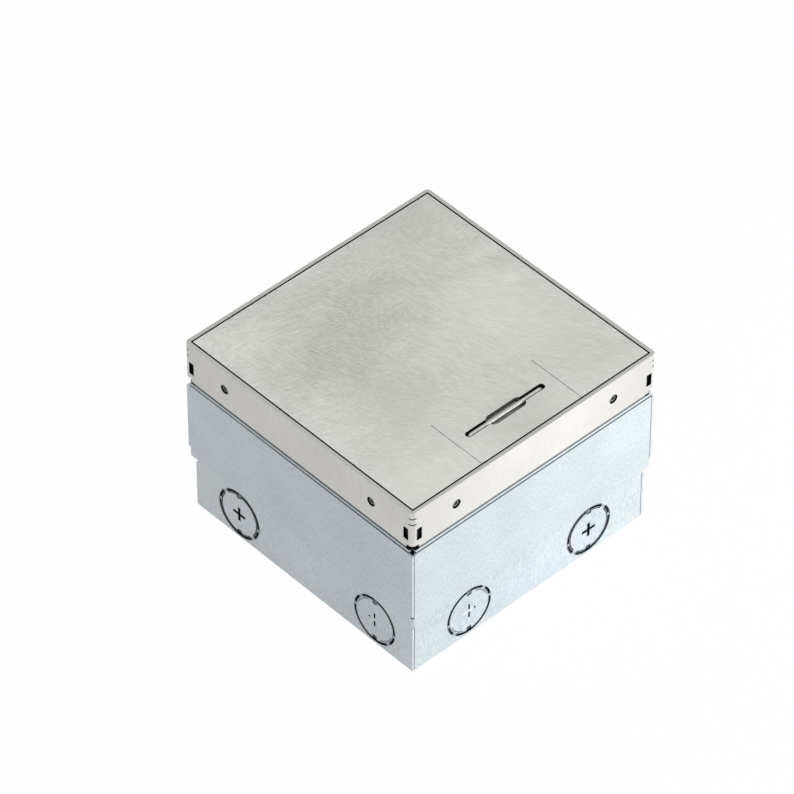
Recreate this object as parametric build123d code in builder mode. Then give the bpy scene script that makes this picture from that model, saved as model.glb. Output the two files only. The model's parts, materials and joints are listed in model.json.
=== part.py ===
from build123d import *
from math import radians, tan
import os

os.makedirs("parts", exist_ok=True)

# Folded sheet box that is cast into the floor
box_side = 139.5
box_height = 75.6
box_sheet = 1.0
box_bend_top = 2.4
box_bend_bottom = 1.5
box_flange_width = 12.25
tray_inset = 2.1
step_height = 29.2
step_angle = 45.0
seam_gap = 0.45
collar_seam_start = 35.6
tray_seam_end = 26.3
corner_relief = 2.3
corner_relief_depth = 3.2
corner_radius = 2.0
seam_relief_radius = 0.9
fixing_spacing_x = 100.0
fixing_spacing_y = 60.0
fixing_hole_radius = 3.25

# Conduit knock-outs
knockout_diameter = 25.0
knockout_groove = 1.1
knockout_height = 14.6
knockout_bridge = 2.6
knockout_bridge_angle = 45.0
knockout_tab = 1.6
knockout_tab_angle = 7.0
knockout_cross_length = 7.6
knockout_cross_width = 1.0
knockout_notch_width = 2.6
knockout_notch_depth = 2.0
knockout_pitch = 35.0
knockout_side_near = 44.5
knockout_side_far = 40.4

# Cover frame
frame_overhang = 0.25
frame_height = 20.7
frame_gap = 1.2
frame_wall = 1.8
frame_flange_width = 10.7
frame_flange_thickness = 1.8
frame_corner_radius = 2.0
corner_notch_length = 4.0
corner_notch_height = 1.6
corner_slit_depths = (3.3, 6.6)
corner_slit_reach = 2.6
corner_slit_width = 0.5
corner_slit_cut = 1.2
window_offset = 2.5
window_width = 2.9
window_height = 6.6
window_depth = 13.2
clip_clearance = 0.35
clip_recess = 1.2
frame_screw_inset = 24.9
frame_screw_depth = 10.4
frame_screw_radius = 2.3
frame_screw_recess = 0.5
frame_screw_socket = 1.1
rail_screw_radius = 1.5

# Lid
lid_gap = 0.75
lid_thickness = 2.5
seal_thickness = 0.8
rail_sheet = 1.5
rail_ledge = 4.0
rail_height = 12.0
rail_corner_gap = 10.0
lid_axis_setback = 11.75
lid_axis_depth = 3.3
hinge_pin_radius = 1.25
running_clearance = 0.05
bracket_plate = 2.0
eye_radius = 2.2
pocket_radius = 2.6
lug_width = 3.4
lug_gap = 0.4
leaf_thickness = 1.5
pan_sheet = 1.2
pan_rim = 6.0
pan_corner_radius = 3.0
pan_side_inset = 15.45
pan_front_inset = 17.1
pan_rear_inset = 17.7
rivet_radius = 1.6

# Cord flap
flap_width = 57.1
flap_length = 30.35
flap_side_gap = 0.25
flap_rear_gap = 0.03
flap_axis_depth = 4.8
flap_knuckle_radius = 2.1
flap_pin_radius = 1.0
flap_leaf = 1.4
flap_knuckle_span = 26.0
flap_knuckle_inner = 15.0
flap_knuckle_play = 0.3
flap_spring_length = 9.0
latch_thickness = 1.5
latch_width = 5.0
latch_length = 15.0
latch_setback = 11.45
latch_clearance = 0.1
guide_sheet = 0.8

# Lifting handle
handle_setback = 15.95
slot_length = 44.3
slot_width = 2.8
finger_length = 21.0
finger_width = 6.2
finger_shift = 0.4
bail_radius = 1.1
bail_depth = 1.3
bail_bend = 1.4
bail_end_gap = 0.45
bail_travel = 8.0
cup_end_gap = 1.35
cup_width = 10.0
cup_depth = 8.5
cup_wall = 1.0
cup_lip = 2.5
stop_radius = 2.2
stop_thickness = 0.8

# Levelling screws
levelling_inset_x = 9.0
levelling_inset_y = 20.0
levelling_radius = 2.5
levelling_head_radius = 3.2
levelling_head_height = 2.4
levelling_travel = 10.0
levelling_socket = 3.0
nut_radius = 3.4
nut_height = 4.0
ring_thickness = 0.8
clearance_hole = 2.7

# Device carrier and inserts
carrier_gap = 13.25
carrier_sheet = 1.5
carrier_top = 39.5
carrier_edge = 8.0
carrier_screw_inset = 6.5
pillar_radius = 4.0
pillar_clearance = 1.0
pillar_screw_radius = 2.0
pillar_head_radius = 3.8
screw_cross_width = 0.9
screw_cross_depth = 1.1
insert_body_gap = 4.0
insert_lip = 1.0
insert_edge_radius = 0.5
insert_flange = 2.0
insert_depth = 28.0
insert_clearance = 0.3
well_wall = 1.9
well_depth = 17.5
contact_spacing = 19.0
contact_radius = 2.7
contact_bore = 2.4
contact_length = 9.0
earth_clip_width = 5.0
earth_clip_sheet = 0.8
jack_margin = 5.5
jack_wall = 3.5
jack_side = 2.1
jack_depth_y = 8.4
jack_height = 12.0
jack_base = 6.0
jack_body_y = 14.0
dust_flap_lip = 0.5
dust_flap_sheet = 1.2
dust_barrel = 1.0
dust_stub = 0.6
dust_ear = 1.5
blank_wall = 1.5
partition_sheet = 1.2
partition_foot = 8.0
clamp_clearance = 0.5
clamp_width = 12.0
clamp_span = 21.0
clamp_sheet = 1.5
clamp_rise = 11.0
earth_stud_radius = 2.5
earth_stud_height = 16.0

# Worked out from the sizes above
box_half = box_side / 2
tray_half = box_half - tray_inset
step_rise = tray_inset / tan(radians(step_angle))
frame_bottom = box_height + frame_gap
frame_top = frame_bottom + frame_height
frame_half = box_half + frame_overhang
frame_side = 2 * frame_half
frame_screw_offset = frame_half - frame_screw_inset
levelling_x = frame_half - levelling_inset_x
levelling_y = frame_half - levelling_inset_y
frame_inner = frame_half - frame_wall
frame_floor = frame_bottom + frame_flange_thickness
lid_half = frame_inner - lid_gap
lid_bottom = frame_top - lid_thickness
lid_axis_y = lid_half - lid_axis_setback
lid_axis_z = frame_top - lid_axis_depth
flap_front = -lid_half
flap_rear = flap_front + flap_length
flap_axis_z = frame_top - flap_axis_depth
frame_screw_z = frame_top - frame_screw_depth
rail_top = lid_bottom - seal_thickness
flap_swing = (flap_length ** 2 + flap_axis_depth ** 2) ** 0.5 + lid_gap
handle_offset = lid_half - handle_setback
latch_offset = lid_half - latch_setback
pan_half_width = lid_half - pan_side_inset
pan_front = flap_rear + pan_front_inset
pan_rear = lid_axis_y - pan_rear_inset
bail_leg_offset = slot_length / 2 - bail_end_gap - bail_radius
cup_length = slot_length + 2 * cup_end_gap
carrier_side = box_side - 2 * carrier_gap
carrier_screw_offset = carrier_side / 2 - carrier_screw_inset
insert_reach = carrier_screw_offset - pillar_radius - pillar_clearance
insert_body = insert_reach - insert_body_gap / 2
insert_pitch = insert_reach + insert_body_gap / 2
insert_side = insert_body + 2 * insert_lip
well_radius = insert_body / 2 - well_wall
jack_body = insert_body / 2 - jack_margin
jack_pitch = insert_body - jack_body - 2 * jack_wall
jack_width = jack_body - 2 * jack_side
dust_flap_x = jack_body + 2 * dust_flap_lip
dust_flap_y = jack_body_y + 2 * dust_flap_lip
clamp_x = carrier_screw_offset - pillar_radius - clamp_clearance - clamp_span / 2
cut_margin = 5.0

# Which way the bridges of a knock-out lean, seen from outside
bridge_leans = {"front": 1, "right": -1, "rear": 1, "left": -1}

# Each wall's own plane: x along the wall, y up, z outwards
wall_planes = {
    "front": Plane(origin=(0, 0, 0), x_dir=(1, 0, 0), z_dir=(0, -1, 0)),
    "right": Plane(origin=(0, 0, 0), x_dir=(0, 1, 0), z_dir=(1, 0, 0)),
    "rear": Plane(origin=(0, 0, 0), x_dir=(-1, 0, 0), z_dir=(0, 1, 0)),
    "left": Plane(origin=(0, 0, 0), x_dir=(0, -1, 0), z_dir=(-1, 0, 0)),
}
knockout_places = {
    "front": (-knockout_pitch, knockout_pitch),
    "right": (-knockout_side_near, knockout_side_far),
    "rear": (-knockout_pitch, knockout_pitch),
    "left": (-knockout_side_far, knockout_side_near),
}
corners = [(-1, -1), (1, -1), (-1, 1), (1, 1)]
sides = {"left": -1, "right": 1}


def save(builder, name):
    builder.part.label = name
    export_step(builder.part, f"parts/{name}.step")


def span(low, high):
    """Length and middle of a stretch between two values."""
    return high - low, (low + high) / 2


def block(x_range, y_range, z_range, mode=Mode.ADD):
    """A box between two values on each axis."""
    (dx, cx), (dy, cy), (dz, cz) = span(*x_range), span(*y_range), span(*z_range)
    with Locations((cx, cy, cz)):
        Box(dx, dy, dz, mode=mode)


def mirrored(side, low, high):
    """A stretch on the right side, or its mirror on the left."""
    return (low, high) if side > 0 else (-high, -low)


# Box: a deep tray whose walls step out into a wider collar with a turned-in flange
def box_form(shrink):
    shift = shrink * tan(radians(step_angle / 2))
    low = step_height + shift
    high = low + step_rise
    with BuildPart() as form:
        with BuildSketch(Plane.XY.offset(shrink)):
            Rectangle(2 * (tray_half - shrink), 2 * (tray_half - shrink))
        extrude(amount=tray_seam_end - shrink)
        with BuildSketch(Plane.XY.offset(tray_seam_end)):
            RectangleRounded(2 * (tray_half - shrink), 2 * (tray_half - shrink), corner_radius - shrink)
        extrude(amount=low - tray_seam_end)
        with BuildSketch(Plane.XY.offset(low)):
            RectangleRounded(2 * (tray_half - shrink), 2 * (tray_half - shrink), corner_radius - shrink)
        with BuildSketch(Plane.XY.offset(high)):
            RectangleRounded(2 * (box_half - shrink), 2 * (box_half - shrink), corner_radius - shrink)
        loft()
        with BuildSketch(Plane.XY.offset(high)):
            RectangleRounded(2 * (box_half - shrink), 2 * (box_half - shrink), corner_radius - shrink)
        extrude(amount=collar_seam_start - high)
        with BuildSketch(Plane.XY.offset(collar_seam_start)):
            Rectangle(2 * (box_half - shrink), 2 * (box_half - shrink))
        extrude(amount=box_height - shrink - collar_seam_start)
        fillet(form.edges().group_by(Axis.Z)[-1], radius=box_bend_top - shrink)
        fillet(form.edges().group_by(Axis.Z)[0], radius=box_bend_bottom - shrink)
    return form.part


with BuildPart() as box_shell:
    add(box_form(0))
    add(box_form(box_sheet), mode=Mode.SUBTRACT)
    opening = box_half - box_flange_width
    block((-opening, opening), (-opening, opening), (box_height - cut_margin, box_height + 1), Mode.SUBTRACT)
    # The flap and the cords swing past the middle of the front flange
    notch_rear = -opening + 1
    notch_depth = box_height - flap_axis_z
    notch_front = flap_rear - (flap_swing ** 2 - notch_depth ** 2) ** 0.5
    notch_half = flap_width / 2 + 2 * lid_gap
    block((-notch_half, notch_half), (notch_front, notch_rear), (box_height - box_sheet - 1, box_height + 1),
          Mode.SUBTRACT)
    for sx, sy in corners:
        # Open seam between the end of the side wall and the front or rear wall
        seams = ((box_half, collar_seam_start, box_height + 1), (tray_half, -1, tray_seam_end))
        for half, low, high in seams:
            seam_x = sx * (half - box_sheet - seam_gap / 2)
            seam_y = sy * (half - box_sheet / 2)
            with Locations((seam_x, seam_y, (low + high) / 2)):
                Box(seam_gap, box_sheet + 0.02, high - low, mode=Mode.SUBTRACT)
        with Locations((sx * box_half, sy * box_half, box_height)):
            Box(2 * corner_relief, 2 * corner_relief, 2 * corner_relief_depth, mode=Mode.SUBTRACT)
        relief_plane = Plane(origin=(sx * box_half, sy * box_half, collar_seam_start), z_dir=(sx, sy, 0))
        with BuildSketch(relief_plane):
            Circle(seam_relief_radius)
        extrude(amount=2 * box_sheet + 1, both=True, mode=Mode.SUBTRACT)
    for name, plane in wall_planes.items():
        with BuildSketch(plane.offset(tray_half)):
            with Locations(*[(x, knockout_height) for x in knockout_places[name]]):
                Circle(knockout_diameter / 2)
        extrude(amount=-2 * box_sheet, mode=Mode.SUBTRACT)
    with Locations((0, 0, box_sheet)):
        with GridLocations(fixing_spacing_x, fixing_spacing_y, 2, 2):
            Hole(fixing_hole_radius, depth=2 * box_sheet)
    with Locations((0, 0, box_height)):
        with GridLocations(2 * levelling_x, 2 * levelling_y, 2, 2):
            Hole(clearance_hole, depth=2 * box_sheet)
save(box_shell, "box_shell")

# Knock-outs: a disc held in the wall by two bridges and two narrow tabs, with a screwdriver cross and
# two pry notches
for name, plane in wall_planes.items():
    disc_radius = knockout_diameter / 2 - knockout_groove
    with BuildPart() as knockouts:
        with BuildSketch(plane.offset(tray_half)):
            with Locations(*[(x, knockout_height) for x in knockout_places[name]]):
                Circle(knockout_diameter / 2)
        extrude(amount=-box_sheet)
        with BuildSketch(plane.offset(tray_half + 1)):
            with Locations(*[(x, knockout_height) for x in knockout_places[name]]):
                Circle(knockout_diameter / 2 + 1)
                Circle(disc_radius, mode=Mode.SUBTRACT)
                Rectangle(2 * knockout_diameter, knockout_bridge,
                          rotation=bridge_leans[name] * knockout_bridge_angle, mode=Mode.SUBTRACT)
                Rectangle(2 * knockout_diameter, knockout_tab,
                          rotation=bridge_leans[name] * knockout_tab_angle, mode=Mode.SUBTRACT)
                Rectangle(knockout_cross_length, knockout_cross_width)
                Rectangle(knockout_cross_width, knockout_cross_length)
                with Locations((0, disc_radius), (0, -disc_radius)):
                    Rectangle(knockout_notch_width, 2 * knockout_notch_depth)
        extrude(amount=-box_sheet - 2, mode=Mode.SUBTRACT)
    save(knockouts, f"knockouts_{name}")

# Nuts under the box flange
with BuildPart() as flange_nuts:
    with BuildSketch(Plane.XY.offset(box_height - box_sheet - nut_height)):
        with GridLocations(2 * levelling_x, 2 * levelling_y, 2, 2):
            Circle(nut_radius)
            Circle(levelling_radius + running_clearance, mode=Mode.SUBTRACT)
    extrude(amount=nut_height)
save(flange_nuts, "flange_nuts")

# Cover frame: upright walls with a turned-in flange
with BuildPart() as trim_frame:
    with BuildSketch(Plane.XY.offset(frame_bottom)):
        RectangleRounded(frame_side, frame_side, frame_corner_radius)
    extrude(amount=frame_height)
    inner_opening = frame_inner - frame_flange_width
    block((-inner_opening, inner_opening), (-inner_opening, inner_opening), (frame_bottom - 1, frame_top),
          Mode.SUBTRACT)
    block((-frame_inner, frame_inner), (-frame_inner, frame_inner), (frame_floor, frame_top + 1),
          Mode.SUBTRACT)
    notch_depth = flap_axis_z - frame_floor
    notch_front = flap_rear - (flap_swing ** 2 - notch_depth ** 2) ** 0.5
    block((-notch_half, notch_half), (notch_front, -inner_opening + 1), (frame_bottom - 1, frame_floor + 1),
          Mode.SUBTRACT)
    for sx, sy in corners:
        reach = frame_half - corner_notch_length
        bend = frame_half - frame_corner_radius
        slit_floor = frame_corner_radius - corner_slit_cut
        block(mirrored(sx, reach, frame_half + 1), mirrored(sy, reach, frame_half + 1),
              (frame_bottom - 1, frame_bottom + corner_notch_height), Mode.SUBTRACT)
        for depth in corner_slit_depths:
            slit_plane = Plane.XY.offset(frame_top - depth - corner_slit_width / 2)
            with BuildSketch(slit_plane):
                with Locations((sx * frame_half, sy * frame_half)):
                    Rectangle(2 * corner_slit_reach, 2 * corner_slit_reach)
                with Locations((sx * bend, sy * bend)):
                    Circle(slit_floor, mode=Mode.SUBTRACT)
                with Locations((sx * (bend - cut_margin), sy * bend)):
                    Rectangle(2 * cut_margin, 2 * slit_floor, mode=Mode.SUBTRACT)
                with Locations((sx * bend, sy * (bend - cut_margin))):
                    Rectangle(2 * slit_floor, 2 * cut_margin, mode=Mode.SUBTRACT)
            extrude(amount=corner_slit_width, mode=Mode.SUBTRACT)
    for plane in wall_planes.values():
        with BuildSketch(plane.offset(frame_half + 1)):
            window_x = frame_half - window_offset - window_width / 2
            with Locations((-window_x, frame_top - window_depth), (window_x, frame_top - window_depth)):
                Rectangle(window_width, window_height)
            with Locations((-frame_screw_offset, frame_screw_z), (frame_screw_offset, frame_screw_z)):
                Circle(frame_screw_radius)
        extrude(amount=-frame_wall - 2, mode=Mode.SUBTRACT)
    with Locations((0, 0, frame_floor)):
        with GridLocations(2 * levelling_x, 2 * levelling_y, 2, 2):
            Hole(clearance_hole, depth=2 * frame_flange_thickness)
save(trim_frame, "trim_frame")

# Clips that stand in the corner windows
with BuildPart() as corner_clips:
    for plane in wall_planes.values():
        with BuildSketch(plane.offset(frame_half - clip_recess)):
            clip_height = window_height - clip_clearance
            with Locations((-window_x, frame_top - window_depth - clip_clearance / 2),
                           (window_x, frame_top - window_depth - clip_clearance / 2)):
                Rectangle(window_width - 2 * clip_clearance, clip_height)
                Rectangle(window_width, clip_height / 3, mode=Mode.SUBTRACT)
                Rectangle((window_width - 2 * clip_clearance) / 2, clip_height / 3)
        extrude(amount=-(frame_wall - clip_recess))
save(corner_clips, "corner_clips")

# Socket screws in the frame's sides: two in each wall
with BuildPart() as frame_screws:
    for plane in wall_planes.values():
        with BuildSketch(plane.offset(frame_half - frame_screw_recess)):
            with Locations((-frame_screw_offset, frame_screw_z), (frame_screw_offset, frame_screw_z)):
                Circle(frame_screw_radius)
        extrude(amount=-(frame_wall - frame_screw_recess))
        with BuildSketch(plane.offset(frame_half)):
            with Locations((-frame_screw_offset, frame_screw_z), (frame_screw_offset, frame_screw_z)):
                RegularPolygon(frame_screw_socket, 6)
        extrude(amount=-(frame_wall - frame_screw_recess), mode=Mode.SUBTRACT)
    for name in ("front", "left", "right"):
        with BuildSketch(wall_planes[name].offset(frame_inner)):
            with Locations((-frame_screw_offset, frame_screw_z), (frame_screw_offset, frame_screw_z)):
                Circle(rail_screw_radius)
        extrude(amount=-rail_sheet)
save(frame_screws, "frame_screws")

# Angle rails that carry the lid, with a seal strip on each ledge
rail_end_rear = lid_axis_y - lid_axis_setback - cut_margin
rail_end_front = -frame_inner + rail_corner_gap
rail_inner = frame_inner - rail_ledge
flap_clear = flap_width / 2 + 2 * lid_gap + 1
rail_spans = {
    "support_rail_left": ("left", -rail_end_rear, -rail_end_front),
    "support_rail_right": ("right", rail_end_front, rail_end_rear),
    "support_rail_front_left": ("front", rail_end_front, -flap_clear),
    "support_rail_front_right": ("front", flap_clear, -rail_end_front),
}
with BuildPart() as lid_seal:
    for name, (wall, low, high) in rail_spans.items():
        with BuildSketch(wall_planes[wall].offset(rail_inner)):
            with BuildLine():
                Polyline((low, rail_top), (high, rail_top), (high, lid_bottom), (low, lid_bottom), close=True)
            make_face()
        extrude(amount=rail_ledge)
save(lid_seal, "lid_seal")
for name, (wall, low, high) in rail_spans.items():
    plane = wall_planes[wall]
    length, middle = span(low, high)
    with BuildPart() as support_rail:
        with BuildSketch(plane.offset(frame_inner)):
            with Locations((middle, rail_top - rail_height / 2)):
                Rectangle(length, rail_height)
        extrude(amount=-rail_sheet)
        with BuildSketch(plane.offset(frame_inner)):
            with Locations((middle, rail_top - rail_sheet / 2)):
                Rectangle(length, rail_sheet)
        extrude(amount=-rail_ledge)
        with BuildSketch(plane.offset(frame_inner)):
            with Locations((-frame_screw_offset, frame_screw_z), (frame_screw_offset, frame_screw_z)):
                Circle(rail_screw_radius)
        extrude(amount=-rail_sheet, mode=Mode.SUBTRACT)
    save(support_rail, name)

# Lid hinge: a bracket on each side wall, a leaf under the lid and a pin through both
bracket_foot = frame_top - rail_height - seal_thickness - lid_thickness
for name, side in sides.items():
    with BuildPart() as hinge_bracket:
        with BuildSketch(Plane.YZ.offset(side * frame_inner)):
            with BuildLine():
                Polyline(
                    (frame_screw_offset - cut_margin, bracket_foot),
                    (lid_axis_y + bracket_plate / 4, bracket_foot),
                    (lid_axis_y + bracket_plate / 4, lid_axis_z),
                    (lid_axis_y - eye_radius, lid_axis_z),
                    (frame_screw_offset - cut_margin, lid_axis_z - 2 * bracket_plate),
                    close=True,
                )
            make_face()
            with Locations((lid_axis_y, lid_axis_z)):
                Circle(eye_radius)
                Circle(hinge_pin_radius + running_clearance, mode=Mode.SUBTRACT)
        extrude(amount=-side * bracket_plate)
        with BuildSketch(Plane.YZ.offset(side * frame_inner)):
            with Locations((frame_screw_offset, frame_screw_z)):
                Circle(rail_screw_radius)
        extrude(amount=-side * rail_sheet, mode=Mode.SUBTRACT)
    save(hinge_bracket, f"hinge_bracket_{name}")

    lug_outer = frame_inner - bracket_plate - lug_gap
    lug_x = mirrored(side, lug_outer - lug_width, lug_outer)
    leaf_x = mirrored(side, lug_outer - 4 * lug_width, lug_outer)
    with BuildPart() as lid_leaf:
        with BuildSketch(Plane.YZ.offset(lug_x[0])):
            with Locations((lid_axis_y, lid_axis_z)):
                Circle(eye_radius)
            with BuildLine():
                Polyline((lid_axis_y, lid_axis_z - eye_radius), (lid_axis_y, lid_axis_z),
                         (lid_axis_y, lid_bottom), (lid_axis_y - lid_axis_setback, lid_bottom),
                         (lid_axis_y - lid_axis_setback, lid_bottom - leaf_thickness),
                         (lid_axis_y - 2 * eye_radius, lid_axis_z - eye_radius), close=True)
            make_face()
        extrude(amount=lug_width)
        block(leaf_x, (lid_axis_y - lid_axis_setback, lid_axis_y - 2 * eye_radius),
              (lid_bottom - leaf_thickness, lid_bottom))
        with BuildSketch(Plane.YZ.offset(lug_x[0] - 1)):
            with Locations((lid_axis_y, lid_axis_z)):
                Circle(hinge_pin_radius)
        extrude(amount=lug_width + 2, mode=Mode.SUBTRACT)
    save(lid_leaf, f"lid_hinge_leaf_{name}")

    pin_x = mirrored(side, lug_outer - lug_width, frame_inner - lid_gap / 2)
    with BuildPart() as hinge_pin:
        with BuildSketch(Plane.YZ.offset(pin_x[0])):
            with Locations((lid_axis_y, lid_axis_z)):
                Circle(hinge_pin_radius)
        extrude(amount=pin_x[1] - pin_x[0])
    save(hinge_pin, f"lid_hinge_pin_{name}")

# Lid plate with the cut-out for the flap and a pocket over each hinge
with BuildPart() as lid_plate:
    block((-lid_half, lid_half), (-lid_half, lid_half), (lid_bottom, frame_top))
    cutout_half = flap_width / 2 + flap_side_gap
    block((-cutout_half, cutout_half), (-lid_half - 1, flap_rear), (lid_bottom - 1, frame_top + 1),
          Mode.SUBTRACT)
    for side in sides.values():
        pocket_x = mirrored(side, lug_outer - lug_width - lug_gap, lid_half + 1)
        with BuildSketch(Plane.YZ.offset(pocket_x[0])):
            with Locations((lid_axis_y, lid_axis_z)):
                Circle(pocket_radius)
        extrude(amount=pocket_x[1] - pocket_x[0], mode=Mode.SUBTRACT)
save(lid_plate, "lid_plate")

# Stiffening pan under the lid
with BuildPart() as lid_pan:
    block((-pan_half_width, pan_half_width), (pan_front, pan_rear), (lid_bottom - pan_rim, lid_bottom))
    fillet(lid_pan.edges().filter_by(Axis.Z), radius=pan_corner_radius)
    inner = pan_half_width - pan_sheet
    block((-inner, inner), (pan_front + pan_sheet, pan_rear - pan_sheet),
          (lid_bottom - pan_rim - 1, lid_bottom - pan_sheet), Mode.SUBTRACT)
save(lid_pan, "lid_pan")

# Rivets that hold the pan and the two hinge leaves
pan_middle = (pan_front + pan_rear) / 2
leaf_rivet_y = lid_axis_y - (lid_axis_setback + 2 * eye_radius) / 2
leaf_rivet_x = lug_outer - 3 * lug_width
with BuildPart() as lid_rivets:
    with BuildSketch(Plane.XY.offset(lid_bottom - pan_sheet)):
        with Locations((0, pan_middle)):
            with GridLocations(1.5 * pan_half_width, (pan_rear - pan_front) / 1.6, 2, 2):
                Circle(rivet_radius)
    extrude(amount=-rivet_radius / 2)
    chamfer(lid_rivets.edges().group_by(Axis.Z)[0], length=rivet_radius / 4)
    with BuildSketch(Plane.XY.offset(lid_bottom - leaf_thickness)):
        with Locations((-leaf_rivet_x, leaf_rivet_y), (leaf_rivet_x, leaf_rivet_y)):
            Circle(rivet_radius)
    extrude(amount=-rivet_radius / 2)
save(lid_rivets, "lid_rivets")

# Flap plate with the handle slot and its finger recess
with BuildPart() as flap_plate:
    block((-flap_width / 2, flap_width / 2), (flap_front, flap_rear - flap_rear_gap), (lid_bottom, frame_top))
    with BuildSketch(Plane.XY.offset(lid_bottom - 1)):
        with Locations((0, -handle_offset)):
            SlotOverall(slot_length, slot_width)
            with Locations((0, -finger_shift)):
                SlotOverall(finger_length, finger_width)
    extrude(amount=lid_thickness + 2, mode=Mode.SUBTRACT)
save(flap_plate, "flap_plate")


def knuckle(x_ranges, y_edge, y_end, bore):
    """Hinge leaf under the plate with its knuckles on the flap's axis."""
    with BuildPart() as leaf:
        for low, high in x_ranges:
            with BuildSketch(Plane.YZ.offset(low)):
                with Locations((flap_rear, flap_axis_z)):
                    Circle(flap_knuckle_radius)
                with BuildLine():
                    Polyline((flap_rear, flap_axis_z), (y_end, lid_bottom - flap_leaf), (y_end, lid_bottom),
                             (y_edge, lid_bottom), (flap_rear, flap_axis_z + flap_knuckle_radius), close=True)
                make_face()
                with Locations((flap_rear, flap_axis_z)):
                    Circle(bore, mode=Mode.SUBTRACT)
            extrude(amount=high - low)
        block((x_ranges[0][0], x_ranges[-1][1]), sorted((y_end, (y_edge + y_end) / 2)),
              (lid_bottom - flap_leaf, lid_bottom))
    return leaf


edge_clear = flap_knuckle_radius / 2
lid_side = [(-flap_knuckle_span, -flap_knuckle_inner), (flap_knuckle_inner, flap_knuckle_span)]
flap_leaf_lid = knuckle(lid_side, flap_rear + edge_clear, flap_rear + 4 * flap_knuckle_radius,
                        flap_pin_radius)
save(flap_leaf_lid, "flap_hinge_leaf_lid")
inner_high = flap_knuckle_inner - flap_knuckle_play
inner_low = flap_spring_length / 2 + flap_knuckle_play
flap_side = [(-inner_high, -inner_low), (inner_low, inner_high)]
flap_leaf_flap = knuckle(flap_side, flap_rear - edge_clear, flap_rear - 3 * flap_knuckle_radius,
                         flap_pin_radius + running_clearance)
save(flap_leaf_flap, "flap_hinge_leaf_flap")

with BuildPart() as flap_hinge_pin:
    with BuildSketch(Plane.YZ.offset(-flap_knuckle_span)):
        with Locations((flap_rear, flap_axis_z)):
            Circle(flap_pin_radius)
    extrude(amount=2 * flap_knuckle_span)
save(flap_hinge_pin, "flap_hinge_pin")

with BuildPart() as flap_spring:
    with BuildSketch(Plane.YZ.offset(-flap_spring_length / 2)):
        with Locations((flap_rear, flap_axis_z)):
            Circle(flap_knuckle_radius - flap_knuckle_play)
            Circle(flap_pin_radius + 2 * running_clearance, mode=Mode.SUBTRACT)
    extrude(amount=flap_spring_length)
save(flap_spring, "flap_spring")

# Handle cup under the flap, with a guide boss for each leg of the bail
cup_bottom = lid_bottom - cup_depth
with BuildPart() as handle_cup:
    with Locations((0, -handle_offset, lid_bottom - cup_wall / 2)):
        Box(cup_length + 2 * cup_lip, cup_width + 2 * cup_lip, cup_wall)
    with Locations((0, -handle_offset, lid_bottom - cup_depth / 2)):
        Box(cup_length, cup_width, cup_depth)
    fillet(handle_cup.edges().filter_by(Axis.Z), radius=cup_lip / 2)
    with Locations((0, -handle_offset, lid_bottom - cup_depth / 2 + cup_wall)):
        Box(cup_length - 2 * cup_wall, cup_width - 2 * cup_wall, cup_depth, mode=Mode.SUBTRACT)
    with BuildSketch(Plane.XY.offset(cup_bottom - cup_wall)):
        with Locations((-bail_leg_offset, -handle_offset), (bail_leg_offset, -handle_offset)):
            Circle(2 * bail_radius)
    extrude(amount=2 * cup_wall)
    with Locations((-bail_leg_offset, -handle_offset, cup_bottom + cup_wall),
                   (bail_leg_offset, -handle_offset, cup_bottom + cup_wall)):
        Hole(bail_radius + running_clearance, depth=3 * cup_wall)
save(handle_cup, "handle_cup")

# Lifting bail: a round bar in the slot with a leg down through each guide
bail_top = frame_top - bail_depth
stop_top = cup_bottom - cup_wall - bail_travel - latch_clearance
leg_bottom = stop_top - stop_thickness
with BuildPart() as handle_bail:
    with BuildLine() as bail_line:
        FilletPolyline(
            (-bail_leg_offset, -handle_offset, leg_bottom),
            (-bail_leg_offset, -handle_offset, bail_top),
            (bail_leg_offset, -handle_offset, bail_top),
            (bail_leg_offset, -handle_offset, leg_bottom),
            radius=bail_bend,
        )
    with BuildSketch(Plane(origin=(-bail_leg_offset, -handle_offset, leg_bottom), z_dir=(0, 0, 1))):
        Circle(bail_radius)
    sweep(path=bail_line.line)
save(handle_bail, "handle_bail")

with BuildPart() as bail_stops:
    with BuildSketch(Plane.XY.offset(leg_bottom)):
        with Locations((-bail_leg_offset, -handle_offset), (bail_leg_offset, -handle_offset)):
            Circle(stop_radius)
            Circle(bail_radius, mode=Mode.SUBTRACT)
    extrude(amount=stop_thickness)
save(bail_stops, "bail_stops")

# Sliding latches that hold the flap shut, and their guides
latch_top = lid_bottom - latch_clearance
latch_tip = flap_width / 2 + flap_side_gap + lid_gap
for name, side in sides.items():
    with BuildPart() as flap_latch:
        latch_y = (-latch_offset - latch_width / 2, -latch_offset + latch_width / 2)
        block(mirrored(side, latch_tip, latch_tip + latch_length), latch_y,
              (latch_top - latch_thickness, latch_top))
        grip_x = latch_tip + latch_length - latch_width / 2
        block(mirrored(side, grip_x - 1, grip_x + 1), latch_y,
              (latch_top - 2 * latch_thickness, latch_top - latch_thickness))
    save(flap_latch, f"flap_latch_{name}")
guide_x = latch_tip + latch_width
guide_bottom = latch_top - latch_thickness - latch_clearance
guide_half = latch_width / 2 + latch_clearance
with BuildPart() as latch_guides:
    for side in sides.values():
        guide_span = mirrored(side, guide_x - latch_width / 2, guide_x)
        outer = guide_half + latch_width / 2
        block(guide_span, (-latch_offset - outer, -latch_offset + outer),
              (guide_bottom - guide_sheet, lid_bottom))
        block(guide_span, (-latch_offset - guide_half, -latch_offset + guide_half),
              (guide_bottom, lid_bottom), Mode.SUBTRACT)
save(latch_guides, "latch_guides")

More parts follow.
